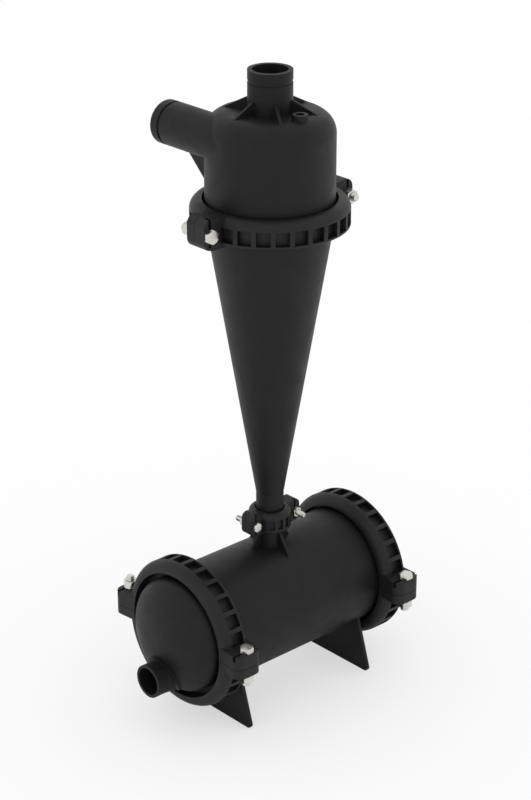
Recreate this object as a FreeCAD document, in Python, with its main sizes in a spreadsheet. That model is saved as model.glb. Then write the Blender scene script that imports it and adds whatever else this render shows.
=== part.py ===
"""Plastic hydrocyclone sand separator standing on its collecting tank.

Dirty water enters the head through the tangential inlet spigot, spins down the cone and leaves upwards
through the vortex finder and the outlet spigot.  Sand drops through the apex into the horizontal tank,
which is emptied through the drain spigot on its front cover.  Every joint is a pair of moulded flanges
with an O-ring between them, held by a two-half clamp with two bolts.

Millimetres, +Z up, origin on the floor under the middle of the whole outline.
"""
import FreeCAD
import Part
import Sketcher
import math
import os
from FreeCAD import Placement, Rotation, Vector

doc = FreeCAD.newDocument("hydrocyclone")

# ---------------------------------------------------------------------------------------------
# Driving dimensions
# ---------------------------------------------------------------------------------------------

SIZES = [
    # heights of the joints, one on top of the other
    ("tank_axis_height", 136.0, "floor to the axis of the collecting tank"),
    ("neck_height", 124.5, "tank axis to the apex joint"),
    ("cone_length", 453.0, "apex joint to the head joint"),
    ("roof_height", 141.5, "head joint to the flat roof of the head"),
    ("outlet_reach", 55.5, "roof to the mouth of the outlet spigot"),
    # grooved pipe ends
    ("pipe_radius", 30.15, "outside of the inlet and outlet spigots, two inch pipe"),
    ("pipe_bore_radius", 24.0, "inside of the inlet and outlet spigots"),
    ("pipe_land", 13.0, "spigot mouth to the coupling groove"),
    ("pipe_groove_width", 4.5, "width of the coupling groove"),
    ("pipe_groove_depth", 1.6, "depth of the coupling groove"),
    # head
    ("head_radius", 87.4, "outside of the head"),
    ("head_wall", 5.4, "wall of the head"),
    ("head_corner", 30.0, "rounding between the side and the roof of the head"),
    ("inlet_drop", 35.0, "roof to the axis of the inlet spigot"),
    ("inlet_reach", 141.0, "cyclone axis to the mouth of the inlet spigot"),
    ("inlet_web_thickness", 5.0, "plate under the inlet spigot"),
    ("inlet_web_reach", 99.0, "cyclone axis to the far end of that plate"),
    ("inlet_web_drop", 62.0, "inlet axis to the foot of that plate"),
    ("roof_rib_count", 6, "ribs round the outlet spigot"),
    ("roof_rib_thickness", 4.0, "thickness of those ribs"),
    ("roof_rib_rise", 17.5, "roof to the top of those ribs"),
    ("roof_rib_reach", 76.0, "cyclone axis to the tip of those ribs"),
    ("port_offset", 57.0, "cyclone axis to the gauge port"),
    ("port_radius", 10.3, "outside of the gauge port boss"),
    ("port_hole_radius", 5.9, "hole for a quarter inch gauge"),
    ("port_rise", 7.0, "roof to the top of the gauge port"),
    # vortex finder
    ("finder_length", 92.0, "underside of the roof to the lower mouth of the vortex finder"),
    ("finder_wall", 3.0, "wall of the vortex finder"),
    ("finder_flange_radius", 36.0, "flange welded to the underside of the roof"),
    ("finder_flange_thickness", 5.0, "thickness of that flange"),
    ("finder_tongue", 8.0, "height of the tongue that centres the vortex finder in the roof"),
    # cone
    ("cone_top_radius", 88.1, "outside of the cone, at the head joint"),
    ("cone_tip_radius", 19.5, "outside of the straight tip of the cone, and of the tank neck"),
    ("cone_tip_length", 41.5, "straight tip above the apex joint"),
    ("cone_wall", 5.5, "wall of the cone tip and of the tank neck"),
    # tank
    ("tank_radius", 86.4, "outside of the tank"),
    ("tank_wall", 5.4, "wall of the tank"),
    ("tank_half_length", 153.7, "tank centre to each cover joint"),
    ("neck_rib_count", 4, "ribs round the tank neck"),
    ("neck_rib_thickness", 4.0, "thickness of those ribs"),
    ("neck_rib_reach", 42.0, "cyclone axis to the foot of those ribs"),
    ("neck_rib_drop", 14.5, "apex joint to the top of those ribs"),
    ("foot_offset", 115.0, "tank centre to each foot"),
    ("foot_thickness", 5.0, "thickness of a foot"),
    ("foot_half_width", 90.0, "half the width of a foot on the floor"),
    ("foot_lean", 0.305, "how far a foot's edge leans in for each millimetre of height"),
    ("foot_corner", 5.5, "rounded corners of a foot on the floor"),
    # tank covers
    ("cover_radius", 83.0, "outside of the covers beside their flange"),
    ("cover_collar", 16.3, "cover joint to the start of the dome"),
    ("cover_depth", 40.0, "height of the dome over its collar"),
    ("cover_wall", 5.4, "wall of the covers"),
    ("drain_radius", 24.0, "outside of the drain spigot"),
    ("drain_bore_radius", 19.8, "inside of the drain spigot"),
    ("drain_drop", 53.0, "tank axis to the drain axis"),
    ("drain_reach", 74.3, "cover joint to the mouth of the drain spigot"),
    ("drain_land", 16.5, "straight end of the drain spigot, which the drain valve goes over"),
    ("drain_root_radius", 27.0, "outside of the drafted root of the spigot, level with the collar"),
    ("drain_boss_radius", 29.0, "raised ring round the root of the drain spigot"),
    ("drain_boss_rise", 4.0, "how far that ring stands off the dome"),
    # seals
    ("seal_play", 0.05, "clearance between an O-ring and its groove or the flange opposite"),
    # large clamps and flanges
    ("flange_radius", 96.0, "rim of the large flanges"),
    ("flange_root", 7.4, "thickness of a large flange at the clamp opening"),
    ("flange_rim", 6.2, "thickness of a large flange at its rim"),
    ("seal_radius", 89.0, "centre of the large O-rings"),
    ("seal_section", 3.9, "thickness of the large O-rings"),
    ("clamp_radius", 107.7, "outside of the large clamps"),
    ("clamp_opening", 90.9, "opening of the large clamps"),
    ("clamp_front", 22.8, "joint to the smooth face of the large clamps"),
    ("clamp_back", 13.6, "joint to the back face of the large clamps"),
    ("clamp_shoulder", 14.4, "rounding round the smooth face of the large clamps"),
    ("clamp_back_round", 2.0, "rounding round the back face of the large clamps"),
    ("clamp_play", 0.2, "clearance between a clamp and its flanges"),
    ("clamp_gap", 0.6, "gap between the two halves of a clamp"),
    ("pocket_web", 3.2, "wall left under the pockets of the large clamps"),
    ("pocket_half_height", 9.9, "joint to the side of a pocket, large clamps"),
    ("pocket_angle", 10.0, "angle that a pocket takes up, large clamps"),
    ("pocket_pitch", 13.5, "angle from pocket to pocket, large clamps"),
    ("pocket_count", 12, "pockets in each half of the large clamps"),
    ("ear_reach", 133.2, "clamp axis to the end of the ears, large clamps"),
    ("ear_front", 25.5, "joint to the front side of the ears, large clamps"),
    ("ear_back", 19.0, "joint to the back side of the ears, large clamps"),
    ("ear_corner", 13.0, "rounded corners of the ears, large clamps"),
    ("ear_thick", 20.0, "thick ears of the large clamps"),
    ("ear_thin", 14.0, "thin ears of the large clamps"),
    ("slot_width", 4.0, "slot across the thick ears of the large clamps"),
    ("slot_depth", 8.0, "depth of that slot"),
    ("bolt_offset", 123.7, "clamp axis to the bolts of the large clamps"),
    ("bolt_rise", 2.3, "joint to the bolt axis, large clamps"),
    ("bolt_radius", 6.0, "M12 bolts of the large clamps"),
    ("bolt_play", 0.3, "radial clearance of a bolt in its hole"),
    ("bolt_length", 52.0, "M12 bolts, under the head"),
    ("bolt_flats", 18.0, "across the flats of M12 heads and nuts"),
    ("bolt_head", 7.5, "height of M12 heads"),
    ("nut_height", 10.8, "height of M12 nuts"),
    ("nut_play", 0.05, "radial clearance of a nut on its bolt"),
    # apex clamp and flanges
    ("apex_flange_radius", 24.5, "rim of the apex flanges"),
    ("apex_flange_root", 5.0, "thickness of an apex flange at the clamp opening"),
    ("apex_flange_rim", 4.2, "thickness of an apex flange at its rim"),
    ("apex_seal_radius", 18.6, "centre of the apex O-ring"),
    ("apex_seal_section", 2.6, "thickness of the apex O-ring"),
    ("apex_clamp_radius", 29.7, "outside of the apex clamp"),
    ("apex_clamp_opening", 20.9, "opening of the apex clamp"),
    ("apex_clamp_front", 17.1, "joint to the smooth face of the apex clamp"),
    ("apex_clamp_back", 11.8, "joint to the back face of the apex clamp"),
    ("apex_clamp_shoulder", 7.0, "rounding round the smooth face of the apex clamp"),
    ("apex_clamp_back_round", 1.2, "rounding round the back face of the apex clamp"),
    ("apex_pocket_web", 1.7, "wall left under the pockets of the apex clamp"),
    ("apex_pocket_half_height", 7.2, "joint to the side of a pocket, apex clamp"),
    ("apex_pocket_angle", 14.0, "angle that a pocket takes up, apex clamp"),
    ("apex_pocket_pitch", 24.0, "angle from pocket to pocket, apex clamp"),
    ("apex_pocket_count", 6, "pockets in each half of the apex clamp"),
    ("apex_ear_reach", 46.0, "clamp axis to the end of the ears, apex clamp"),
    ("apex_ear_front", 19.5, "joint to the front side of the ears, apex clamp"),
    ("apex_ear_back", 14.0, "joint to the back side of the ears, apex clamp"),
    ("apex_ear_corner", 9.0, "rounded corners of the ears, apex clamp"),
    ("apex_ear_thick", 11.4, "thick ears of the apex clamp"),
    ("apex_ear_thin", 8.0, "thin ears of the apex clamp"),
    ("apex_slot_width", 2.5, "slot across the thick ears of the apex clamp"),
    ("apex_slot_depth", 5.0, "depth of that slot"),
    ("apex_bolt_offset", 37.0, "clamp axis to the bolts of the apex clamp"),
    ("apex_bolt_rise", 1.0, "joint to the bolt axis, apex clamp"),
    ("apex_bolt_radius", 4.0, "M8 bolts of the apex clamp"),
    ("apex_bolt_length", 40.0, "M8 bolts, under the head"),
    ("apex_bolt_flats", 13.0, "across the flats of M8 heads and nuts"),
    ("apex_bolt_head", 5.3, "height of M8 heads"),
    ("apex_nut_height", 6.8, "height of M8 nuts"),
]

sheet = doc.addObject("Spreadsheet::Sheet", "sizes")
for row, (alias, value, note) in enumerate(SIZES, start=1):
    sheet.set(f"A{row}", alias)
    sheet.set(f"B{row}", str(value))
    sheet.set(f"C{row}", note)
    sheet.setAlias(f"B{row}", alias)
doc.recompute()


class Size:
    """A size that keeps its value together with the spreadsheet formula that gives it."""

    def __init__(self, value, formula):
        self.value = float(value)
        self.formula = formula

    def __add__(self, other):
        return combine(self, "+", other)

    def __radd__(self, other):
        return combine(other, "+", self)

    def __sub__(self, other):
        return combine(self, "-", other)

    def __rsub__(self, other):
        return combine(other, "-", self)

    def __mul__(self, other):
        return combine(self, "*", other)

    def __rmul__(self, other):
        return combine(other, "*", self)

    def __truediv__(self, other):
        return combine(self, "/", other)

    def __neg__(self):
        return combine(0, "-", self)


def as_size(number):
    if isinstance(number, Size):
        return number
    return Size(number, repr(float(number)))


def combine(first, sign, second):
    first = as_size(first)
    second = as_size(second)
    if sign == "+":
        value = first.value + second.value
    elif sign == "-":
        value = first.value - second.value
    elif sign == "*":
        value = first.value * second.value
    else:
        value = first.value / second.value
    return Size(value, f"({first.formula} {sign} {second.formula})")


def root(number):
    return Size(math.sqrt(number.value), f"sqrt({number.formula})")


def cell(alias):
    return Size(sheet.get(alias), f"sizes.{alias}")


# ---------------------------------------------------------------------------------------------
# Sketches and features
# ---------------------------------------------------------------------------------------------

OVERCUT = 1.0        # how far a cutting tool stands out of the material that it leaves
SINK = 1.0           # how far a rib or a flange reaches into the wall that carries it
FULL_TURN = 360.0


def bind(feature, name, size):
    """Set a property of a feature and tie it to the spreadsheet."""
    feature.setExpression(name, as_size(size).formula)


def origin_part(body, role):
    return next(item for item in body.Origin.OriginFeatures if item.Role == role)


def new_sketch(body, name, plane, offset=0):
    """An empty sketch on one of the body's origin planes, or parallel to it."""
    sketch = body.newObject("Sketcher::SketchObject", name)
    sketch.AttachmentSupport = (origin_part(body, plane), [""])
    sketch.MapMode = "FlatFace"
    if as_size(offset).value or isinstance(offset, Size):
        bind(sketch, "AttachmentOffset.Base.z", offset)
    return sketch


def tie(sketch, kind, geometry, point, size):
    """Hold one coordinate of a sketch point at its distance from the sketch origin."""
    size = as_size(size)
    number = sketch.addConstraint(Sketcher.Constraint(kind, -1, 1, geometry, point, size.value))
    if "sizes." in size.formula:
        sketch.setExpression(f"Constraints[{number}]", size.formula)


def outline(sketch, start, *steps):
    """Draw a closed outline.

    A step is (x, y) for a straight edge to that point, or (x, y, centre x, centre y) for a circular
    edge round that centre, the short way.  Every corner is held at its own place.
    """
    first = sketch.GeometryCount
    corners = [start] + list(steps)
    places = [Vector(as_size(corner[0]).value, as_size(corner[1]).value, 0) for corner in corners]
    ends = []
    for number, place in enumerate(places):
        following = (number + 1) % len(places)
        target = places[following]
        step = corners[following]
        if following == 0 or len(step) == 2:
            sketch.addGeometry(Part.LineSegment(place, target), False)
            ends.append((1, 2))
            continue
        centre = Vector(as_size(step[2]).value, as_size(step[3]).value, 0)
        turn = (place - centre).cross(target - centre).z
        begin, finish = (place, target) if turn > 0 else (target, place)
        angles = [math.atan2(spot.y - centre.y, spot.x - centre.x) for spot in (begin, finish)]
        if angles[1] < angles[0]:
            angles[1] += 2 * math.pi
        circle = Part.Circle(centre, Vector(0, 0, 1), (begin - centre).Length)
        sketch.addGeometry(Part.ArcOfCircle(circle, *angles), False)
        ends.append((1, 2) if turn > 0 else (2, 1))
    for number, corner in enumerate(corners):
        edge = first + number
        before = first + (number - 1) % len(corners)
        begin = ends[number][0]
        finish = ends[(number - 1) % len(corners)][1]
        sketch.addConstraint(Sketcher.Constraint("Coincident", before, finish, edge, begin))
        tie(sketch, "DistanceX", edge, begin, corner[0])
        tie(sketch, "DistanceY", edge, begin, corner[1])
        if number and len(corner) == 4:
            across = abs((places[number] - places[number - 1]).x)
            along = abs((places[number] - places[number - 1]).y)
            if across < along:
                tie(sketch, "DistanceY", before, 3, corner[3])
            else:
                tie(sketch, "DistanceX", before, 3, corner[2])


def circle(sketch, across, up, radius):
    """Draw a circle and hold its centre and radius."""
    centre = Vector(as_size(across).value, as_size(up).value, 0)
    number = sketch.addGeometry(Part.Circle(centre, Vector(0, 0, 1), as_size(radius).value), False)
    tie(sketch, "DistanceX", number, 3, across)
    tie(sketch, "DistanceY", number, 3, up)
    index = sketch.addConstraint(Sketcher.Constraint("Radius", number, as_size(radius).value))
    sketch.setExpression(f"Constraints[{index}]", as_size(radius).formula)


def feature(body, kind, name, sketch, **settings):
    """Add a PartDesign feature made from a sketch."""
    item = body.newObject("PartDesign::" + kind, name)
    item.Profile = sketch
    for key, value in settings.items():
        if isinstance(value, Size):
            bind(item, key, value)
        else:
            setattr(item, key, value)
    return item


def turned(body, kind, name, sketch, angle=FULL_TURN, **settings):
    """Revolve a sketch, or cut its revolved shape away, about the sketch's vertical axis."""
    return feature(body, kind, name, sketch, ReferenceAxis=(sketch, ["V_Axis"]), Angle=angle, **settings)


def repeat(body, name, original, count, angle):
    """Repeat a feature round the body's Z axis."""
    pattern = body.newObject("PartDesign::PolarPattern", name)
    pattern.Originals = [original]
    pattern.Axis = (origin_part(body, "Z_Axis"), [""])
    if isinstance(angle, Size):
        bind(pattern, "Angle", angle)
    else:
        pattern.Angle = angle
    if isinstance(count, Size):
        bind(pattern, "Occurrences", count)
    else:
        pattern.Occurrences = count
    body.Tip = pattern
    return pattern


def new_body(label):
    body = doc.addObject("PartDesign::Body", label)
    body.Label = label
    return body


# ---------------------------------------------------------------------------------------------
# Places of the joints
# ---------------------------------------------------------------------------------------------

tank_axis = cell("tank_axis_height")
apex_joint = tank_axis + cell("neck_height")
head_joint = apex_joint + cell("cone_length")
cover_top = cell("cover_collar") + cell("cover_depth")

# the cyclone axis stands a little off the middle of the whole outline
axis_x = (cell("drain_reach") - cover_top) / 2
axis_y = (cell("ear_reach") - cell("inlet_reach")) / 2

UPRIGHT = Rotation()
FRONT_COVER = Rotation(Vector(0, 1, 0), -90)     # local Z points out of the front of the tank
REAR_COVER = Rotation(Vector(0, 1, 0), 90)       # local Z points out of the back of the tank
TANK_CLAMP = Rotation(Vector(0, 1, 0), Vector(0, 0, -1), Vector(-1, 0, 0), "ZXY")
HALF_TURN = Rotation(Vector(0, 0, 1), 180)


def place(item, along, up, rotation=UPRIGHT, aside=0):
    """Put a finished piece in the assembly: along the tank, aside of it and up from the floor."""
    item.Placement = Placement(Vector(0, 0, 0), rotation)
    bind(item, "Placement.Base.x", axis_x + along)
    bind(item, "Placement.Base.y", axis_y + aside)
    bind(item, "Placement.Base.z", up)


def flange_corners(neck, prefix="", sign=1):
    """Corners of a flange from its joint face round to its neck, with its sloping back."""
    rim = cell(prefix + "flange_radius")
    opening = cell(prefix + "clamp_opening")
    return [
        (rim, 0),
        (rim, cell(prefix + "flange_rim") * sign),
        (opening, cell(prefix + "flange_root") * sign),
        (neck, cell(prefix + "flange_root") * sign),
    ]


def spigot_corners(radius, mouth):
    """Corners of a grooved pipe end, from below its coupling groove to its mouth."""
    groove_top = mouth - cell("pipe_land")
    groove_bottom = groove_top - cell("pipe_groove_width")
    floor = radius - cell("pipe_groove_depth")
    return [
        (radius, groove_bottom),
        (floor, groove_bottom),
        (floor, groove_top),
        (radius, groove_top),
        (radius, mouth),
    ]


def seal_groove(body, prefix, face, sign):
    """Cut the O-ring groove into a joint face that looks towards sign."""
    half = cell(prefix + "seal_section") / 2 + cell("seal_play")
    centre = cell(prefix + "seal_radius")
    sketch = new_sketch(body, "seal_groove_section", "XZ_Plane")
    floor = face - half * 2 * sign
    outline(sketch, (centre - half, face + OVERCUT * sign), (centre + half, face + OVERCUT * sign),
            (centre + half, floor), (centre - half, floor))
    turned(body, "Groove", "seal_groove", sketch)


# ---------------------------------------------------------------------------------------------
# Head: one moulding with the tangential inlet, the outlet spigot, its ribs and the gauge port
# ---------------------------------------------------------------------------------------------

def make_head():
    body = new_body("head")
    side = cell("head_radius")
    wall = cell("head_wall")
    roof = cell("roof_height")
    corner = cell("head_corner")
    pipe = cell("pipe_radius")
    bore = cell("pipe_bore_radius")
    mouth = roof + cell("outlet_reach")
    inlet_side = side - pipe
    inlet_up = roof - cell("inlet_drop")

    section = new_sketch(body, "shell_section", "XZ_Plane")
    outline(section, (0, 0), *flange_corners(side), (side, roof - corner),
            (side - corner, roof, side - corner, roof - corner), (pipe, roof),
            *spigot_corners(pipe, mouth), (0, mouth))
    turned(body, "Revolution", "shell", section)

    inlet_section = new_sketch(body, "inlet_section", "XZ_Plane")
    circle(inlet_section, -inlet_side, inlet_up, pipe)
    feature(body, "Pad", "inlet", inlet_section, Length=cell("inlet_reach"), Reversed=True)

    # thin plate that carries the inlet spigot on the side of the head
    web_section = new_sketch(body, "inlet_web_section", "YZ_Plane", -inlet_side)
    web_foot = root(side * side - inlet_side * inlet_side) - wall / 2
    outline(web_section, (web_foot, inlet_up), (web_foot, inlet_up - cell("inlet_web_drop")),
            (cell("inlet_web_reach"), inlet_up - pipe + wall / 2), (cell("inlet_web_reach"), inlet_up))
    feature(body, "Pad", "inlet_web", web_section, Length=cell("inlet_web_thickness"), Midplane=True)

    # ribs that stand on the roof round the outlet spigot and run out over the rounded corner
    rib_section = new_sketch(body, "roof_rib_section", "XZ_Plane")
    tip = cell("roof_rib_reach")
    reach = tip - (side - corner)
    tip_height = roof - corner + root(corner * corner - reach * reach)
    outline(rib_section, (pipe - SINK, roof - wall), (tip, tip_height - wall), (tip, tip_height),
            (pipe - SINK, roof + cell("roof_rib_rise")))
    rib = feature(body, "Pad", "roof_rib", rib_section, Length=cell("roof_rib_thickness"), Midplane=True)
    repeat(body, "roof_ribs", rib, cell("roof_rib_count"), FULL_TURN)

    port_section = new_sketch(body, "port_section", "XY_Plane", roof - wall / 2)
    circle(port_section, 0, -cell("port_offset"), cell("port_radius"))
    feature(body, "Pad", "port", port_section, Length=wall / 2 + cell("port_rise"))

    # the hollow: swirl chamber, seat of the vortex finder's tongue, and outlet bore
    inner = side - wall
    ceiling = roof - wall
    inner_corner = corner - wall
    tongue = bore + cell("finder_wall") + cell("seal_play")
    cavity = new_sketch(body, "cavity_section", "XZ_Plane")
    outline(cavity, (0, -OVERCUT), (inner, -OVERCUT), (inner, ceiling - inner_corner),
            (inner - inner_corner, ceiling, inner - inner_corner, ceiling - inner_corner),
            (tongue, ceiling), (tongue, ceiling + cell("finder_tongue")),
            (bore, ceiling + cell("finder_tongue")), (bore, mouth + OVERCUT), (0, mouth + OVERCUT))
    turned(body, "Groove", "cavity", cavity)

    inlet_bore = new_sketch(body, "inlet_bore_section", "XZ_Plane")
    circle(inlet_bore, -inlet_side, inlet_up, bore)
    feature(body, "Pocket", "inlet_bore", inlet_bore, Length=cell("inlet_reach") + OVERCUT)

    groove = new_sketch(body, "inlet_groove_section", "XZ_Plane",
                        -(cell("inlet_reach") - cell("pipe_land")))
    circle(groove, -inlet_side, inlet_up, pipe + OVERCUT)
    circle(groove, -inlet_side, inlet_up, pipe - cell("pipe_groove_depth"))
    feature(body, "Pocket", "inlet_groove", groove, Length=cell("pipe_groove_width"), Reversed=True)

    port_hole = new_sketch(body, "port_hole_section", "XY_Plane", roof + cell("port_rise") + OVERCUT)
    circle(port_hole, 0, -cell("port_offset"), cell("port_hole_radius"))
    feature(body, "Pocket", "port_hole", port_hole, Length=cell("port_rise") + wall + OVERCUT * 2)
    place(body, 0, head_joint)
    return body


def make_vortex_finder():
    """Tube under the outlet, with a flange welded to the roof and a tongue in the roof's seat."""
    body = new_body("vortex_finder")
    bore = cell("pipe_bore_radius")
    tube = bore + cell("finder_wall")
    ceiling = cell("roof_height") - cell("head_wall")
    flange = cell("finder_flange_radius")
    low = ceiling - cell("finder_flange_thickness")
    section = new_sketch(body, "section", "XZ_Plane")
    outline(section, (bore, ceiling - cell("finder_length")), (tube, ceiling - cell("finder_length")),
            (tube, low), (flange, low), (flange, ceiling), (tube, ceiling),
            (tube, ceiling + cell("finder_tongue") - cell("seal_play")),
            (bore, ceiling + cell("finder_tongue") - cell("seal_play")))
    turned(body, "Revolution", "tube", section)
    place(body, 0, head_joint)
    return body


# ---------------------------------------------------------------------------------------------
# Cone: one moulding, flanged at the head joint and at the apex joint
# ---------------------------------------------------------------------------------------------

def make_cone():
    body = new_body("cone")
    length = cell("cone_length")
    top = cell("cone_top_radius")
    tip = cell("cone_tip_radius")
    tip_up = cell("cone_tip_length")
    slope = (top - tip) / (length - tip_up)
    neck = top - slope * cell("flange_root")
    inner_top = cell("head_radius") - cell("head_wall")
    inner_tip = tip - cell("cone_wall")
    rim = cell("flange_radius")
    section = new_sketch(body, "section", "XZ_Plane")
    outline(section, (inner_tip, 0), *flange_corners(tip, "apex_"), (tip, tip_up),
            (neck, length - cell("flange_root")), (cell("clamp_opening"), length - cell("flange_root")),
            (rim, length - cell("flange_rim")), (rim, length), (inner_top, length), (inner_tip, tip_up))
    turned(body, "Revolution", "shell", section)
    seal_groove(body, "", length, 1)
    place(body, 0, apex_joint)
    return body


# ---------------------------------------------------------------------------------------------
# Tank: one moulding, a drum on two feet with the apex neck on top
# ---------------------------------------------------------------------------------------------

def make_tank():
    body = new_body("tank")
    side = cell("tank_radius")
    inner = side - cell("tank_wall")
    half = cell("tank_half_length")
    tip = cell("cone_tip_radius")
    neck_up = cell("neck_height")
    rim = cell("flange_radius")
    flange_rim = cell("flange_rim")
    flange_root = cell("flange_root")
    opening = cell("clamp_opening")

    # the drum and its two flanges are turned about the tank's own axis, along X
    drum_section = new_sketch(body, "drum_section", "XZ_Plane")
    outline(drum_section, (-half, 0), (-half, rim), (flange_rim - half, rim),
            (flange_root - half, opening), (flange_root - half, side), (half - flange_root, side),
            (half - flange_root, opening), (half - flange_rim, rim), (half, rim), (half, 0))
    feature(body, "Revolution", "drum", drum_section, ReferenceAxis=(drum_section, ["H_Axis"]),
            Angle=FULL_TURN)

    neck_section = new_sketch(body, "neck_section", "XZ_Plane")
    outline(neck_section, (0, 0), (tip, 0), (tip, neck_up - cell("apex_flange_root")),
            (cell("apex_clamp_opening"), neck_up - cell("apex_flange_root")),
            (cell("apex_flange_radius"), neck_up - cell("apex_flange_rim")),
            (cell("apex_flange_radius"), neck_up), (0, neck_up))
    turned(body, "Revolution", "neck", neck_section)

    # ribs that brace the neck on the drum
    rib_section = new_sketch(body, "neck_rib_section", "XZ_Plane")
    reach = cell("neck_rib_reach")
    low = root(side * side - reach * reach)
    foot = low - cell("tank_wall") / 2
    top = neck_up - cell("neck_rib_drop")
    outline(rib_section, (tip - SINK, foot), (reach, foot), (reach, low), (tip, top), (tip - SINK, top))
    rib = feature(body, "Pad", "neck_rib", rib_section, Length=cell("neck_rib_thickness"), Midplane=True)
    repeat(body, "neck_ribs", rib, cell("neck_rib_count"), FULL_TURN)

    # each foot is a plate across the drum, wider on the floor
    for name, sign in (("front_foot", -1), ("rear_foot", 1)):
        foot_section = new_sketch(body, name + "_section", "YZ_Plane", cell("foot_offset") * sign)
        low_edge = -tank_axis
        wide = cell("foot_half_width")
        lean = cell("foot_lean")
        corner = cell("foot_corner")
        # where the leaning edge leaves the rounded corner
        rise = root(1 + lean * lean)
        centre_in = corner * (rise + lean)
        touch_out = centre_in - corner / rise
        touch_up = corner + corner * lean / rise
        narrow = wide - lean * tank_axis
        outline(foot_section, (narrow, 0), (-narrow, 0), (touch_out - wide, low_edge + touch_up),
                (centre_in - wide, low_edge, centre_in - wide, low_edge + corner),
                (wide - centre_in, low_edge),
                (wide - touch_out, low_edge + touch_up, wide - centre_in, low_edge + corner))
        feature(body, "Pad", name, foot_section, Length=cell("foot_thickness"), Midplane=True)

    hollow_section = new_sketch(body, "hollow_section", "XZ_Plane")
    outline(hollow_section, (-half - OVERCUT, 0), (-half - OVERCUT, inner), (half + OVERCUT, inner),
            (half + OVERCUT, 0))
    feature(body, "Groove", "hollow", hollow_section, ReferenceAxis=(hollow_section, ["H_Axis"]),
            Angle=FULL_TURN)

    neck_bore = new_sketch(body, "neck_bore_section", "XY_Plane", neck_up + OVERCUT)
    circle(neck_bore, 0, 0, tip - cell("cone_wall"))
    feature(body, "Pocket", "neck_bore", neck_bore, Length=neck_up + OVERCUT)
    seal_groove(body, "apex_", neck_up, 1)

    # O-ring grooves in the two end faces
    groove = cell("seal_section") / 2 + cell("seal_play")
    for name, sign in (("front", -1), ("rear", 1)):
        section = new_sketch(body, name + "_seal_section", "XZ_Plane")
        face = half * sign
        floor = face - groove * 2 * sign
        centre = cell("seal_radius")
        outline(section, (face + OVERCUT * sign, centre - groove), (floor, centre - groove),
                (floor, centre + groove), (face + OVERCUT * sign, centre + groove))
        feature(body, "Groove", name + "_seal_groove", section, ReferenceAxis=(section, ["H_Axis"]),
                Angle=FULL_TURN)
    place(body, 0, tank_axis)
    return body


# ---------------------------------------------------------------------------------------------
# Tank covers: domed mouldings, the front one with the drain spigot
# ---------------------------------------------------------------------------------------------

def dome(name, radius, collar, depth):
    """A drum from the joint face to the collar, closed by half an ellipsoid."""
    drum = doc.addObject("Part::Cylinder", name + "_drum")
    bind(drum, "Radius", radius)
    bind(drum, "Height", collar)
    cap = doc.addObject("Part::Ellipsoid", name + "_cap")
    bind(cap, "Radius1", depth)
    bind(cap, "Radius2", radius)
    bind(cap, "Radius3", radius)
    cap.Angle1 = 0.0
    cap.Angle2 = 90.0
    cap.Angle3 = FULL_TURN
    bind(cap, "Placement.Base.z", collar)
    return joined(name, [drum, cap])


def joined(name, items):
    if len(items) == 1:
        return items[0]
    fuse = doc.addObject("Part::MultiFuse", name)
    fuse.Shapes = items
    fuse.Refine = True
    return fuse


def cut(name, base, tool):
    item = doc.addObject("Part::Cut", name)
    item.Base = base
    item.Tool = tool
    item.Refine = True
    return item


def rod(name, radius, length, across=0, start=0):
    """A cylinder along the cover's axis, off it by across."""
    cylinder = doc.addObject("Part::Cylinder", name)
    bind(cylinder, "Radius", radius)
    bind(cylinder, "Height", length)
    bind(cylinder, "Placement.Base.x", across)
    bind(cylinder, "Placement.Base.z", start)
    return cylinder


def cover_flange(name):
    """The flange of a cover, as a body of its own that the cover is built on."""
    body = new_body(name)
    section = new_sketch(body, name + "_section", "XZ_Plane")
    outline(section, (0, 0), *flange_corners(cell("cover_radius") - SINK),
            (0, cell("flange_root")))
    turned(body, "Revolution", name + "_disc", section)
    return body


def make_cover(label, rotation, sign, with_drain):
    radius = cell("cover_radius")
    wall = cell("cover_wall")
    collar = cell("cover_collar")
    depth = cell("cover_depth")
    solid = [cover_flange(label + "_flange"), dome(label + "_outside", radius, collar, depth)]
    hollow = [dome(label + "_inside", radius - wall, collar, depth - wall)]
    if with_drain:
        across = -cell("drain_drop")
        rise = cell("drain_boss_rise")
        drain = cell("drain_radius")
        bore = cell("drain_bore_radius")
        reach = cell("drain_reach")
        land = cell("drain_land")
        # ring round the root of the spigot, as high everywhere over the dome
        post = rod("drain_post", cell("drain_boss_radius"), reach, across)
        skin = dome("drain_skin", radius, collar + rise, depth)
        ring = doc.addObject("Part::MultiCommon", "drain_ring")
        ring.Shapes = [post, skin]
        solid.append(ring)
        solid.append(rod("drain_land", drain, land, across, reach - land))
        draft = doc.addObject("Part::Cone", "drain_root")
        bind(draft, "Radius1", cell("drain_root_radius"))
        bind(draft, "Radius2", drain)
        bind(draft, "Height", reach - land - collar)
        bind(draft, "Placement.Base.x", across)
        bind(draft, "Placement.Base.z", collar)
        solid.append(draft)
        hollow.append(rod("drain_bore", bore, reach + OVERCUT, across, -OVERCUT))
    cover = cut(label, joined(label + "_solid", solid), joined(label + "_hollow", hollow))
    cover.Label = label
    place(cover, cell("tank_half_length") * sign, tank_axis, rotation)
    return cover


# ---------------------------------------------------------------------------------------------
# Clamps: two halves round a pair of flanges
# ---------------------------------------------------------------------------------------------

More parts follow.
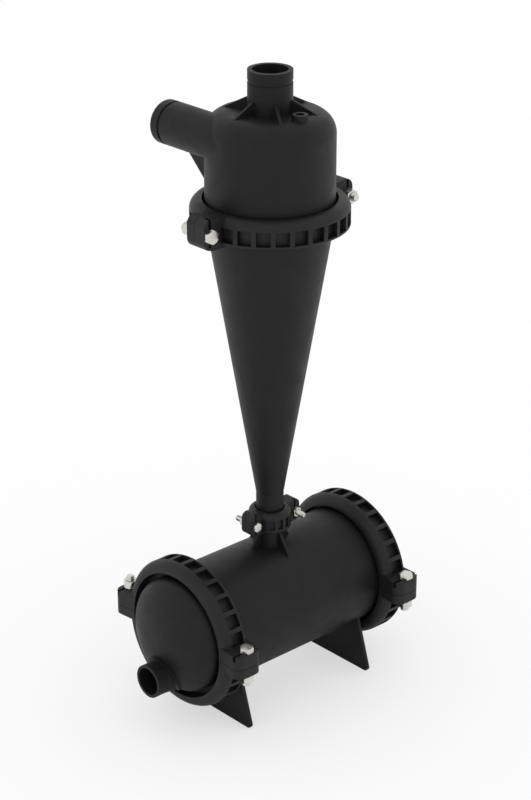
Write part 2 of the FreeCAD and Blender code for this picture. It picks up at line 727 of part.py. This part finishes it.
def make_clamp_half(label, prefix, thick, along, up, rotation):
    """One half of a clamp: a half ring with a wedge groove, pockets round its back and two ears.

    It is built on the side of local -Y.  Local +Z is the smooth face.
    """
    body = new_body(label)
    outer = cell(prefix + "clamp_radius")
    opening = cell(prefix + "clamp_opening")
    front = cell(prefix + "clamp_front")
    back = -cell(prefix + "clamp_back")
    shoulder = cell(prefix + "clamp_shoulder")
    back_round = cell(prefix + "clamp_back_round")
    play = cell("clamp_play")
    rim = cell(prefix + "flange_radius") + play
    ear = cell(prefix + ("ear_thick" if thick else "ear_thin"))
    ear_front = cell(prefix + "ear_front")
    ear_back = -cell(prefix + "ear_back")
    ear_corner = cell(prefix + "ear_corner")
    reach = cell(prefix + "ear_reach")
    bolt_x = cell(prefix + "bolt_offset")
    bolt_z = cell(prefix + "bolt_rise")

    band_section = new_sketch(body, "band_section", "XZ_Plane")
    outline(band_section, (opening, back), (outer - back_round, back),
            (outer, back + back_round, outer - back_round, back + back_round), (outer, front - shoulder),
            (outer - shoulder, front, outer - shoulder, front - shoulder), (opening, front))
    turned(body, "Revolution", "band", band_section, 180.0, Reversed=True)

    for name, sign in (("left", -1), ("right", 1)):
        ear_section = new_sketch(body, name + "_ear_section", "XZ_Plane")
        outline(ear_section, (opening * sign, ear_back), ((reach - ear_corner) * sign, ear_back),
                (reach * sign, ear_back + ear_corner, (reach - ear_corner) * sign, ear_back + ear_corner),
                (reach * sign, ear_front - ear_corner),
                ((reach - ear_corner) * sign, ear_front, (reach - ear_corner) * sign,
                 ear_front - ear_corner),
                ((outer - shoulder) * sign, front), (opening * sign, front))
        feature(body, "Pad", name + "_ear", ear_section, Length=ear)

    # the opening, and the wedge groove that draws the two flanges together
    groove_section = new_sketch(body, "groove_section", "XZ_Plane")
    far = ear_front + OVERCUT
    near = ear_back - OVERCUT
    rim_half = cell(prefix + "flange_rim") + play
    root_half = cell(prefix + "flange_root") + play
    outline(groove_section, (0, near), (opening, near), (opening, -root_half), (rim, -rim_half),
            (rim, rim_half), (opening, root_half), (opening, far), (0, far))
    turned(body, "Groove", "groove", groove_section)

    for name, sign in (("left", -1), ("right", 1)):
        hole_section = new_sketch(body, name + "_bolt_section", "XZ_Plane", ear + OVERCUT)
        circle(hole_section, bolt_x * sign, bolt_z, cell(prefix + "bolt_radius") + cell("bolt_play"))
        feature(body, "Pocket", name + "_bolt_hole", hole_section, Length=ear + OVERCUT * 2)
        if thick:
            slot_section = new_sketch(body, name + "_slot_section", "XZ_Plane", ear + OVERCUT)
            half = cell(prefix + "slot_width") / 2
            outline(slot_section, (bolt_x * sign - half, near), (bolt_x * sign + half, near),
                    (bolt_x * sign + half, far), (bolt_x * sign - half, far))
            feature(body, "Pocket", name + "_slot", slot_section,
                    Length=cell(prefix + "slot_depth") + OVERCUT)

    # pockets between the ribs, spread evenly about the middle of the half ring
    pitch = cell(prefix + "pocket_pitch")
    count = cell(prefix + "pocket_count")
    floor = rim + cell(prefix + "pocket_web")
    tall = cell(prefix + "pocket_half_height")
    pocket_section = new_sketch(body, "pocket_section", "YZ_Plane")
    half_spread = pitch * (count - 1) / 2
    pocket_section.AttachmentOffset = Placement(Vector(0, 0, 0), Rotation(Vector(0, 1, 0), half_spread.value))
    bind(pocket_section, "AttachmentOffset.Rotation.Angle", half_spread)
    outline(pocket_section, (-outer - OVERCUT, -tall), (-floor, -tall), (-floor, tall),
            (-outer - OVERCUT, tall))
    pocket = turned(body, "Groove", "pocket", pocket_section, cell(prefix + "pocket_angle"), Midplane=True)
    pattern = repeat(body, "pockets", pocket, count, half_spread * 2)
    pattern.Reversed = True

    # the halves stand apart by the clamp gap
    side = rotation.multVec(Vector(0, -1, 0)) * (1 if thick else -1)
    turn = rotation if thick else rotation.multiply(HALF_TURN)
    half_gap = cell("clamp_gap") / 2
    place(body, along + half_gap * round(side.x), up + half_gap * round(side.z), turn,
          half_gap * round(side.y))
    return body


def make_seal(label, prefix, along, up, rotation):
    """O-ring in the groove of the lower or inner flange."""
    ring = doc.addObject("Part::Torus", label)
    ring.Label = label
    bind(ring, "Radius1", cell(prefix + "seal_radius"))
    bind(ring, "Radius2", cell(prefix + "seal_section") / 2)
    place(ring, along, up, rotation)
    return ring


# ---------------------------------------------------------------------------------------------
# Fasteners
# ---------------------------------------------------------------------------------------------

CLAMPS = [
    # name, size prefix, place along the tank, height, rotation
    ("head_clamp", "", as_size(0), head_joint, UPRIGHT),
    ("front_cover_clamp", "", -cell("tank_half_length"), tank_axis, TANK_CLAMP),
    ("rear_cover_clamp", "", cell("tank_half_length"), tank_axis, TANK_CLAMP),
    ("apex_clamp", "apex_", as_size(0), apex_joint, UPRIGHT),
]


def hexagon(name, flats, height, start):
    """A hexagon whose flats face the band and the end of the ear."""
    prism = doc.addObject("Part::Prism", name)
    prism.Placement = Placement(Vector(0, 0, 0), Rotation(Vector(0, 0, 1), 30))
    prism.Polygon = 6
    bind(prism, "Circumradius", flats / math.sqrt(3))
    bind(prism, "Height", height)
    bind(prism, "Placement.Base.z", start)
    return prism


def make_fasteners(clamp, prefix, along, up, rotation):
    """Two bolts and nuts of one clamp; the second bolt goes in from the other side."""
    bolts = []
    nuts = []
    radius = cell(prefix + "bolt_radius")
    flats = cell(prefix + "bolt_flats")
    thick = cell(prefix + "ear_thick") + cell("clamp_gap") / 2
    thin = cell(prefix + "ear_thin") + cell("clamp_gap") / 2
    for side, sign, head_seat, nut_seat in (("left", -1, thick, thin), ("right", 1, thin, thick)):
        name = f"{clamp}_{side}"
        head = hexagon(name + "_head", flats, cell(prefix + "bolt_head"), -cell(prefix + "bolt_head"))
        shank = rod(name + "_shank", radius, cell(prefix + "bolt_length"))
        bolt = joined(name + "_bolt", [head, shank])
        blank = hexagon(name + "_blank", flats, cell(prefix + "nut_height"), head_seat + nut_seat)
        hole = rod(name + "_nut_hole", radius + cell("nut_play"), cell(prefix + "nut_height") + OVERCUT * 2,
                   0, head_seat + nut_seat - OVERCUT)
        nut = cut(name + "_nut", blank, hole)
        # the bolt runs along the clamp's local Y; its head sits under the thick ear on the left
        turn = rotation.multiply(Rotation(Vector(1, 0, 0), 90 * sign))
        offset_x = rotation.multVec(Vector(1, 0, 0))
        offset_y = rotation.multVec(Vector(0, 1, 0))
        offset_z = rotation.multVec(Vector(0, 0, 1))
        across = cell(prefix + "bolt_offset") * sign
        seat = head_seat * sign
        rise = cell(prefix + "bolt_rise")
        shift = [across * round(offset_x[axis]) + seat * round(offset_y[axis]) + rise * round(offset_z[axis])
                 for axis in range(3)]
        for item, group in ((bolt, bolts), (nut, nuts)):
            place(item, along + shift[0], up + shift[2], turn, shift[1])
            group.append(item)
    return bolts, nuts


def group(label, items):
    compound = doc.addObject("Part::Compound", label)
    compound.Label = label
    compound.Links = items
    return compound


# ---------------------------------------------------------------------------------------------
# The whole hydrocyclone
# ---------------------------------------------------------------------------------------------

pieces = [
    make_head(),
    make_vortex_finder(),
    make_cone(),
    make_tank(),
    make_cover("front_cover", FRONT_COVER, -1, True),
    make_cover("rear_cover", REAR_COVER, 1, False),
]

half_groove = cell("seal_section") / 2 + cell("seal_play")
apex_half_groove = cell("apex_seal_section") / 2 + cell("seal_play")
pieces += [
    make_seal("head_seal", "", 0, head_joint - half_groove, UPRIGHT),
    make_seal("apex_seal", "apex_", 0, apex_joint - apex_half_groove, UPRIGHT),
    make_seal("front_cover_seal", "", half_groove - cell("tank_half_length"), tank_axis, FRONT_COVER),
    make_seal("rear_cover_seal", "", cell("tank_half_length") - half_groove, tank_axis, REAR_COVER),
]

fasteners = {"": ([], []), "apex_": ([], [])}
for clamp, prefix, along, up, rotation in CLAMPS:
    thick_name, thin_name = ("front", "rear") if rotation is UPRIGHT else ("upper", "lower")
    pieces.append(make_clamp_half(f"{clamp}_{thick_name}", prefix, True, along, up, rotation))
    pieces.append(make_clamp_half(f"{clamp}_{thin_name}", prefix, False, along, up, rotation))
    bolts, nuts = make_fasteners(clamp, prefix, along, up, rotation)
    fasteners[prefix][0].extend(bolts)
    fasteners[prefix][1].extend(nuts)
pieces.append(group("clamp_bolts", fasteners[""][0]))
pieces.append(group("clamp_nuts", fasteners[""][1]))
pieces.append(group("apex_clamp_bolts", fasteners["apex_"][0]))
pieces.append(group("apex_clamp_nuts", fasteners["apex_"][1]))

doc.recompute()

for item in doc.Objects:
    if "Invalid" in item.State or "Error" in item.State:
        raise RuntimeError(f"{item.Name} was not built: {item.State}")
for piece in pieces:
    if piece.Shape.isNull() or not piece.Shape.isValid():
        raise RuntimeError(f"{piece.Label} has no valid shape")

os.makedirs("parts", exist_ok=True)
for piece in pieces:
    piece.Shape.exportStep(f"parts/{piece.Label}.step")
    box = piece.Shape.BoundBox
    print(f"{piece.Label:24s} solids {len(piece.Shape.Solids):2d}  volume {piece.Shape.Volume / 1000:9.1f} cm3"
          f"  x {box.XMin:7.1f} {box.XMax:7.1f}  y {box.YMin:7.1f} {box.YMax:7.1f}"
          f"  z {box.ZMin:7.1f} {box.ZMax:7.1f}")
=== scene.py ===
"""Plastic hydrocyclone on its sand collecting tank: finishes, fasteners and studio."""
import math

import bmesh
import bpy
from mathutils import Matrix, Vector


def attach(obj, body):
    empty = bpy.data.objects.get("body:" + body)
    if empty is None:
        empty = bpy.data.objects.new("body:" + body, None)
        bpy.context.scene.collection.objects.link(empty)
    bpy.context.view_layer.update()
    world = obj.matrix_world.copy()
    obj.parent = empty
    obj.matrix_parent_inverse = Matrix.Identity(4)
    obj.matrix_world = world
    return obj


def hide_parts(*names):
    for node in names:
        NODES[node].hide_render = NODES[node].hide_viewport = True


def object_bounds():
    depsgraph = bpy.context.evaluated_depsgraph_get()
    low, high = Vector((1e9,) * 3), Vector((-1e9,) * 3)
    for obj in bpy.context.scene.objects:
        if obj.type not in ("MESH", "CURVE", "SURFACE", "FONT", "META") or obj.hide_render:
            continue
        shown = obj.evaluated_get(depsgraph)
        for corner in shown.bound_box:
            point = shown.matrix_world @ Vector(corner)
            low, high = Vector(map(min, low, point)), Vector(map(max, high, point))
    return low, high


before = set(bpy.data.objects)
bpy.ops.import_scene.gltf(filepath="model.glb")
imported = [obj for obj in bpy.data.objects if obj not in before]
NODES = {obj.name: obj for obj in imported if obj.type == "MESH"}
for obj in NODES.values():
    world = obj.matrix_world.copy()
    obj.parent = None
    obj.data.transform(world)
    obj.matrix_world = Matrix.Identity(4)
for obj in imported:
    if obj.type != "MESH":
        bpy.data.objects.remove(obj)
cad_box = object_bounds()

MM = 0.001


# ------------------------------------------------------------------------------------------
# Camera.  Three-quarter view from the front left, a good three metres away and well above
# the floor, with a long lens that keeps the uprights almost parallel.
# ------------------------------------------------------------------------------------------
VIEW_TURN = math.radians(-42.34)        # round from straight in front, towards the drain side
VIEW_RISE = math.radians(24.08)
VIEW_DISTANCE = 3.046                   # metres, like the centre that it is measured from
VIEW_CENTRE = Vector((0.00447, 0.00023, 0.4410))
LENS = 99.3                             # millimetres, on a sensor as wide as small film
SENSOR_WIDTH = 36.0
FARTHEST = 60.0                         # metres, well past the edge of the paper

towards = Vector((math.sin(VIEW_TURN) * math.cos(VIEW_RISE),
                  -math.cos(VIEW_TURN) * math.cos(VIEW_RISE),
                  math.sin(VIEW_RISE)))
camera_data = bpy.data.cameras.new("studio_camera")
camera_data.lens = LENS
camera_data.sensor_width = SENSOR_WIDTH
camera_data.clip_end = FARTHEST
camera = bpy.data.objects.new("studio_camera", camera_data)
bpy.context.scene.collection.objects.link(camera)
camera.location = VIEW_CENTRE + towards * VIEW_DISTANCE
camera.rotation_euler = (-towards).to_track_quat("-Z", "Y").to_euler()
bpy.context.scene.camera = camera


# ------------------------------------------------------------------------------------------
# Black mouldings: head, cone, tank, covers, vortex finder and clamps.  Glass-filled nylon,
# injected into a spark-eroded steel mould and left as it comes out: no paint, no polish.
# ------------------------------------------------------------------------------------------
SHARE, COLOUR_A, COLOUR_B, COLOUR_OUT = 0, 6, 7, 2      # sockets of a Mix node set to colour


def linear(code):
    """An sRGB hex colour as the linear values that a shader wants."""
    parts = [int(code[place:place + 2], 16) / 255 for place in (1, 3, 5)]
    return [part / 12.92 if part <= 0.04045 else ((part + 0.055) / 1.055) ** 2.4
            for part in parts] + [1.0]


def add_node(tree, kind, settings=None, links=None):
    """Add a node.  settings: its options and its inputs' values.  links: input to a socket."""
    node = tree.nodes.new(kind)
    for key, value in (settings or {}).items():
        if isinstance(key, str) and hasattr(node, key):
            setattr(node, key, value)
        else:
            node.inputs[key].default_value = value
    for key, socket in (links or {}).items():
        tree.links.new(socket, node.inputs[key])
    return node


def new_material(name):
    """An empty material and its node tree."""
    material = bpy.data.materials.new(name)
    material.use_nodes = True
    material.node_tree.nodes.clear()
    return material, material.node_tree


def moulded_nylon(name, colour, mottle_colour, sheen):
    """Satin black that breaks up into a fine matt grain, as spark-eroded steel leaves it."""
    GRAIN = 0.9 * MM        # the real grit is about 0.3 mm; three times that, so that it shows
    SWIRL = 38.0 * MM       # slow change of gloss where the melt flowed and cooled
    FIBRE = 5.0 * MM        # clouds of fibre just under the skin
    EDGE = 0.8 * MM         # radius that the mould leaves on every outer edge
    GRAIN_DEPTH = 0.12 * MM
    GLOSSY, MATT = 0.47, 0.58
    material, tree = new_material(name)
    place = add_node(tree, "ShaderNodeTexCoord")
    grain = add_node(tree, "ShaderNodeTexNoise",
                     {"Scale": 1 / GRAIN, "Detail": 3.0, "Roughness": 0.6},
                     {"Vector": place.outputs["Object"]})
    swirl = add_node(tree, "ShaderNodeTexNoise",
                     {"Scale": 1 / SWIRL, "Detail": 4.0, "Roughness": 0.55, "Distortion": 1.2},
                     {"Vector": place.outputs["Object"]})
    fibre = add_node(tree, "ShaderNodeTexNoise",
                     {"Scale": 1 / FIBRE, "Detail": 5.0, "Roughness": 0.7},
                     {"Vector": place.outputs["Object"]})
    tint = add_node(tree, "ShaderNodeMix",
                    {"data_type": "RGBA", COLOUR_A: linear(colour),
                     COLOUR_B: linear(mottle_colour)},
                    {SHARE: fibre.outputs["Fac"]})
    gloss = add_node(tree, "ShaderNodeMapRange",
                     {"From Min": 0.3, "From Max": 0.7, "To Min": GLOSSY, "To Max": MATT},
                     {"Value": swirl.outputs["Fac"]})
    edge = add_node(tree, "ShaderNodeBevel", {"samples": 6, "Radius": EDGE})
    relief = add_node(tree, "ShaderNodeBump", {"Strength": 0.16, "Distance": GRAIN_DEPTH},
                      {"Height": grain.outputs["Fac"], "Normal": edge.outputs["Normal"]})
    shader = add_node(tree, "ShaderNodeBsdfPrincipled",
                      {"IOR": 1.52, "Specular IOR Level": sheen},
                      {"Base Color": tint.outputs[COLOUR_OUT], "Roughness": gloss.outputs[0],
                       "Normal": relief.outputs[0]})
    add_node(tree, "ShaderNodeOutputMaterial", links={"Surface": shader.outputs[0]})
    return material


def finish_with(node_name, material):
    """Give a moulded or turned piece its finish, in every slot that it has."""
    for holder in NODES[node_name].material_slots:
        holder.material = material


# the clamps come from a mould of their own, with a little more gloss than the body's
BODY_SHEEN, CLAMP_SHEEN = 0.225, 0.29
body_nylon = moulded_nylon("glass_filled_nylon_black", "#0D0D0E", "#151515", BODY_SHEEN)
clamp_nylon = moulded_nylon("glass_filled_nylon_black_clamp", "#0E0E0F", "#171717",
                            CLAMP_SHEEN)

for moulding in ("head", "vortex_finder", "cone", "tank", "front_cover", "rear_cover"):
    finish_with(moulding, body_nylon)
for joint in ("head_clamp_front", "head_clamp_rear", "front_cover_clamp_upper",
              "front_cover_clamp_lower", "rear_cover_clamp_upper", "rear_cover_clamp_lower",
              "apex_clamp_front", "apex_clamp_rear"):
    finish_with(joint, clamp_nylon)


# ------------------------------------------------------------------------------------------
# O-rings.  Moulded EPDM rubber cords, pressed into their grooves between the flanges and
# out of sight until a clamp comes off; softer and greyer than the nylon, with a dull bloom.
# ------------------------------------------------------------------------------------------
BLOOM = 3.0 * MM            # patches of bloom on the cord
SKIN_DEPTH = 0.1 * MM
rubber, rubber_tree = new_material("epdm_rubber_moulded")
rubber_place = add_node(rubber_tree, "ShaderNodeTexCoord")
rubber_bloom = add_node(rubber_tree, "ShaderNodeTexNoise",
                        {"Scale": 1 / BLOOM, "Detail": 4.0},
                        {"Vector": rubber_place.outputs["Object"]})
rubber_tint = add_node(rubber_tree, "ShaderNodeMix",
                       {"data_type": "RGBA", COLOUR_A: linear("#1A1A1B"),
                        COLOUR_B: linear("#262627")},
                       {SHARE: rubber_bloom.outputs["Fac"]})
rubber_skin = add_node(rubber_tree, "ShaderNodeBump",
                       {"Strength": 0.1, "Distance": SKIN_DEPTH},
                       {"Height": rubber_bloom.outputs["Fac"]})
rubber_shader = add_node(rubber_tree, "ShaderNodeBsdfPrincipled",
                         {"Roughness": 0.75, "IOR": 1.52},
                         {"Base Color": rubber_tint.outputs[COLOUR_OUT],
                          "Normal": rubber_skin.outputs[0]})
add_node(rubber_tree, "ShaderNodeOutputMaterial", links={"Surface": rubber_shader.outputs[0]})
for seal in ("head_seal", "apex_seal", "front_cover_seal", "rear_cover_seal"):
    finish_with(seal, rubber)


# ------------------------------------------------------------------------------------------
# Clamp bolts and nuts.  Cold-headed A2 stainless hexagons with rolled threads, two of each to
# a clamp: a bolt goes through both ears, and its nut draws the two half rings together.
# ------------------------------------------------------------------------------------------
def separate_solids(node_name):
    """The corner points of each separate solid in a node, in the order of its mesh."""
    WELD = 0.001 * MM
    mesh = bmesh.new()
    mesh.from_mesh(NODES[node_name].data)
    bmesh.ops.remove_doubles(mesh, verts=mesh.verts, dist=WELD)
    seen = set()
    solids = []
    for first in mesh.verts:
        if first in seen:
            continue
        seen.add(first)
        group = [first]
        for vertex in group:
            for edge in vertex.link_edges:
                other = edge.other_vert(vertex)
                if other not in seen:
                    seen.add(other)
                    group.append(other)
        solids.append([vertex.co.copy() for vertex in group])
    mesh.free()
    return solids


def select_only(piece):
    for other in bpy.context.selected_objects:
        other.select_set(False)
    piece.select_set(True)
    bpy.context.view_layer.objects.active = piece


def apply_modifier(piece, kind, **settings):
    select_only(piece)
    modifier = piece.modifiers.new("step", kind)
    for key, value in settings.items():
        setattr(modifier, key, value)
    bpy.ops.object.modifier_apply(modifier=modifier.name)


def round_bar(radius, bottom, top, sides=48):
    """An upright bar with its place in its mesh."""
    bpy.ops.object.select_all(action="DESELECT")
    bpy.ops.mesh.primitive_cylinder_add(vertices=sides, radius=radius, depth=top - bottom,
                                        location=(0, 0, (top + bottom) / 2))
    bpy.ops.object.transform_apply(location=True, rotation=True, scale=True)
    return bpy.context.object


def chamfering_drum(corner_radius, bottom, top, chamfer_low, chamfer_high):
    """A drum chamfered at the ends asked for, which trims the corners of a hexagon."""
    CHAMFER = math.radians(30)
    FACE_SHARE = 0.97       # the flat end's circle, as a share of the width across flats
    SIDES = 96
    FACING = 0.9            # how squarely the end's face looks along the axis
    SAME_HEIGHT = 1e-7
    OUTSIDE = 1.001         # just more than the flat end's own circle
    drum = round_bar(corner_radius, bottom, top, SIDES)
    inner = corner_radius * math.sqrt(3) / 2 * FACE_SHARE
    fall = (corner_radius - inner) * math.tan(CHAMFER)
    for wanted, height, sign in ((chamfer_low, bottom, -1), (chamfer_high, top, 1)):
        if not wanted:
            continue
        select_only(drum)
        bpy.ops.object.mode_set(mode="EDIT")
        bpy.ops.mesh.select_all(action="DESELECT")
        bpy.ops.object.mode_set(mode="OBJECT")
        for face in drum.data.polygons:
            face.select = face.normal.z * sign > FACING
        bpy.ops.object.mode_set(mode="EDIT")
        bpy.ops.mesh.select_mode(type="FACE")
        bpy.ops.mesh.inset(thickness=corner_radius - inner, depth=0.0)
        bpy.ops.object.mode_set(mode="OBJECT")
        for vertex in drum.data.vertices:
            at_this_end = abs(vertex.co.z - height) < SAME_HEIGHT
            if at_this_end and vertex.co.xy.length > inner * OUTSIDE:
                vertex.co.z -= fall * sign
    return drum


def hexagon(flats, bottom, top, chamfer_low, chamfer_high):
    """An upright hexagon with flats that face X, and its corners turned off where asked."""
    OVERSIZE = 1.0005       # the drum clears the corners themselves by a hair
    corner = flats / math.sqrt(3)
    bar = round_bar(corner, bottom, top, 6)
    drum = chamfering_drum(corner * OVERSIZE, bottom, top, chamfer_low, chamfer_high)
    apply_modifier(bar, "BOOLEAN", operation="INTERSECT", object=drum, solver="EXACT")
    bpy.data.objects.remove(drum)
    return bar


def thread(crest, pitch, bottom, top):
    """A rolled thread as one helical strip: flank up, crest, flank down and root."""
    DEPTH_SHARE = 0.613     # of the pitch, as a metric thread has
    STEPS = 36
    SEAM = 1e-6
    root = crest - DEPTH_SHARE * pitch
    profile = [(root, 0.0), (root, 0.125), (crest, 0.4375), (crest, 0.5625), (root, 0.875),
               (root, 1.0)]
    strip = bpy.data.meshes.new("thread")
    strip.from_pydata([(radius, 0, bottom + share * pitch) for radius, share in profile],
                      [(number, number + 1) for number in range(len(profile) - 1)], [])
    piece = bpy.data.objects.new("thread", strip)
    bpy.context.scene.collection.objects.link(piece)
    apply_modifier(piece, "SCREW", angle=2 * math.pi, screw_offset=pitch,
                   iterations=int((top - bottom) / pitch) - 1, steps=STEPS, render_steps=STEPS,
                   use_merge_vertices=True, merge_threshold=SEAM, use_normal_calculate=True)
    return piece


def joined(name, parts):
    """One piece from several, which keep their own surfaces."""
    for other in bpy.context.selected_objects:
        other.select_set(False)
    for part in parts:
        part.select_set(True)
    bpy.context.view_layer.objects.active = parts[0]
    bpy.ops.object.join()
    parts[0].name = name
    return parts[0]


def soften(piece, width):
    """Round every sharp edge by a given width, and shade what is left of it smooth."""
    SHARP, SMOOTH = math.radians(30), math.radians(35)
    apply_modifier(piece, "BEVEL", width=width, segments=2, limit_method="ANGLE",
                   angle_limit=SHARP, harden_normals=False)
    select_only(piece)
    bpy.ops.object.shade_smooth_by_angle(angle=SMOOTH)


def bolt_along_z(size):
    """A bolt that points up, with the seat of its head at the origin."""
    CREST_EASE, SHANK_EASE = 0.03 * MM, 0.02 * MM       # how far each keeps inside its hole
    ROOT_SHARE = 0.7        # of the pitch: the core stays just under the thread's root
    SUNK, LAP = 0.2 * MM, 1.0 * MM                      # how far each runs into the next
    CORNER, TIP = 0.25 * MM, 0.5 * MM
    radius = size["major"] / 2
    head = hexagon(size["flats"], -size["head"], 0, True, False)
    shank = round_bar(radius - SHANK_EASE, -SUNK, size["plain"])
    core = round_bar(radius - ROOT_SHARE * size["pitch"], size["plain"] - LAP, size["length"])
    helix = thread(radius - CREST_EASE, size["pitch"], size["plain"], size["length"])
    soften(head, CORNER)
    soften(core, TIP)
    return joined("bolt", [head, shank, core, helix])


def nut_along_z(size):
    """A nut that stands on the origin, with a plain bore of the bolt's own diameter."""
    CORNER = 0.25 * MM
    PAST = 1.0 * MM         # how far the drill runs out at either end
    nut = hexagon(size["flats"], 0, size["nut"], True, True)
    drill = round_bar(size["major"] / 2, -PAST, size["nut"] + PAST)
    apply_modifier(nut, "BOOLEAN", operation="DIFFERENCE", object=drill, solver="EXACT")
    bpy.data.objects.remove(drill)
    soften(nut, CORNER)
    return nut


def points_down(points, middle, along, shank_radius):
    """Whether a bolt's head is at the upper end of its axis."""
    PAST_SHANK = 1.2        # only the head reaches so far out from the axis
    across = [axis for axis in range(3) if axis != along]
    head_points = [point for point in points
                   if math.hypot(*(point[axis] - middle[axis] for axis in across))
                   > shank_radius * PAST_SHANK]
    return sum(point[along] - middle[along] for point in head_points) > 0


def stainless(name):
    """Pickled A2 bar: bright grey with fine lathe and die marks and a faint warm cast."""
    DRAW_MARK = 0.35 * MM
    MARK_DEPTH = 0.03 * MM
    PATCH = 4.0 * MM        # where the pickle bit a little more
    BRIGHT, DULL = 0.2, 0.34
    material, tree = new_material(name)
    place = add_node(tree, "ShaderNodeTexCoord")
    marks = add_node(tree, "ShaderNodeTexNoise", {"Scale": 1 / DRAW_MARK, "Detail": 3.0},
                     {"Vector": place.outputs["Object"]})
    patches = add_node(tree, "ShaderNodeTexNoise", {"Scale": 1 / PATCH, "Detail": 3.0},
                       {"Vector": place.outputs["Object"]})
    tint = add_node(tree, "ShaderNodeMix",
                    {"data_type": "RGBA", COLOUR_A: linear("#C6C3BD"),
                     COLOUR_B: linear("#D8D7D4")},
                    {SHARE: patches.outputs["Fac"]})
    rough = add_node(tree, "ShaderNodeMapRange",
                     {"From Min": 0.3, "From Max": 0.7, "To Min": BRIGHT, "To Max": DULL},
                     {"Value": patches.outputs["Fac"]})
    relief = add_node(tree, "ShaderNodeBump", {"Strength": 0.12, "Distance": MARK_DEPTH},
                      {"Height": marks.outputs["Fac"]})
    shader = add_node(tree, "ShaderNodeBsdfPrincipled", {"Metallic": 1.0},
                      {"Base Color": tint.outputs[COLOUR_OUT], "Roughness": rough.outputs[0],
                       "Normal": relief.outputs[0]})
    add_node(tree, "ShaderNodeOutputMaterial", links={"Surface": shader.outputs[0]})
    return material


a2_stainless = stainless("a2_stainless_cold_headed")

# head and nut are heights, and plain is the length of shank that has no thread
CLAMP_SIZE = {"major": 12.0 * MM, "flats": 18.0 * MM, "head": 7.5 * MM, "pitch": 1.75 * MM,
              "length": 52.0 * MM, "nut": 10.8 * MM, "plain": 22.0 * MM}
APEX_SIZE = {"major": 8.0 * MM, "flats": 13.0 * MM, "head": 5.3 * MM, "pitch": 1.25 * MM,
             "length": 40.0 * MM, "nut": 6.8 * MM, "plain": 18.0 * MM}
ALONG_TANK, ACROSS_TANK = Vector((1, 0, 0)), Vector((0, 1, 0))
LEVEL = 1                   # the axis of the bolts that lie level, across the tank

for node_name, size, is_bolt in (("clamp_bolts", CLAMP_SIZE, True),
                                 ("clamp_nuts", CLAMP_SIZE, False),
                                 ("apex_clamp_bolts", APEX_SIZE, True),
                                 ("apex_clamp_nuts", APEX_SIZE, False)):
    model = bolt_along_z(size) if is_bolt else nut_along_z(size)
    for number, points in enumerate(separate_solids(node_name), start=1):
        low = Vector([min(point[axis] for point in points) for axis in range(3)])
        high = Vector([max(point[axis] for point in points) for axis in range(3)])
        middle, spread = (low + high) / 2, high - low
        # a bolt is longest along its axis, and a nut is thinnest
        by_spread = sorted(range(3), key=lambda axis: spread[axis])
        along = by_spread[-1] if is_bolt else by_spread[0]
        down = is_bolt and points_down(points, middle, along, size["major"] / 2)
        forwards = Vector((0, 0, 0))
        forwards[along] = -1.0 if down else 1.0
        back_to_seat = (size["length"] - size["head"] if is_bolt else size["nut"]) / 2
        seat = middle - forwards * back_to_seat
        flat_way = ALONG_TANK if along == LEVEL else ACROSS_TANK
        turn = Matrix((flat_way, forwards.cross(flat_way), forwards)).transposed().to_4x4()
        piece = bpy.data.objects.new(f"{node_name}_{number}", model.data.copy())
        bpy.context.scene.collection.objects.link(piece)
        piece.data.transform(Matrix.Translation(seat) @ turn)
        piece.data.materials.clear()
        piece.data.materials.append(a2_stainless)
        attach(piece, "root")
        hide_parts(node_name)
    bpy.data.objects.remove(model)


# ------------------------------------------------------------------------------------------
# Studio.  Seamless white paper under an evenly lit white room; the floor keeps the soft
# shadow that gathers between the feet.
# ------------------------------------------------------------------------------------------
PAPER_WIDTH = 24.0          # metres, so that its edge is never seen
PAPER_FIBRE = 2.0 * MM
PAPER_LIFT = 0.56           # how far the lens sees the paper lifted towards white
bpy.ops.object.select_all(action="DESELECT")
bpy.ops.mesh.primitive_plane_add(size=PAPER_WIDTH, location=(0, 0, cad_box[0].z))
floor = bpy.context.object
floor.name = "studio_floor"
paper, paper_tree = new_material("seamless_white_paper")
paper_place = add_node(paper_tree, "ShaderNodeTexCoord")
paper_fibre = add_node(paper_tree, "ShaderNodeTexNoise",
                       {"Scale": 1 / PAPER_FIBRE, "Detail": 3.0},
                       {"Vector": paper_place.outputs["Object"]})
paper_tint = add_node(paper_tree, "ShaderNodeMix",
                      {"data_type": "RGBA", COLOUR_A: linear("#FDFDFD"),
                       COLOUR_B: linear("#FFFFFF")},
                      {SHARE: paper_fibre.outputs["Fac"]})
paper_diffuse = add_node(paper_tree, "ShaderNodeBsdfDiffuse", {},
                         {"Color": paper_tint.outputs[COLOUR_OUT]})
paper_glow = add_node(paper_tree, "ShaderNodeEmission",
                      {"Color": (1, 1, 1, 1), "Strength": 1.0})
paper_ray = add_node(paper_tree, "ShaderNodeLightPath")
paper_lift = add_node(paper_tree, "ShaderNodeMath", {"operation": "MULTIPLY", 1: PAPER_LIFT},
                      {0: paper_ray.outputs["Is Camera Ray"]})
paper_mix = add_node(paper_tree, "ShaderNodeMixShader", {},
                     {0: paper_lift.outputs[0], 1: paper_diffuse.outputs[0],
                      2: paper_glow.outputs[0]})
add_node(paper_tree, "ShaderNodeOutputMaterial", links={"Surface": paper_mix.outputs[0]})
floor.data.materials.append(paper)

world = bpy.data.worlds.new("studio")
bpy.context.scene.world = world
world.use_nodes = True
world.node_tree.nodes.clear()
sky = add_node(world.node_tree, "ShaderNodeBackground",
               {"Color": (1, 1, 1, 1), "Strength": 1.0})
add_node(world.node_tree, "ShaderNodeOutputWorld", links={"Surface": sky.outputs[0]})

bpy.context.scene.view_settings.view_transform = "Standard"
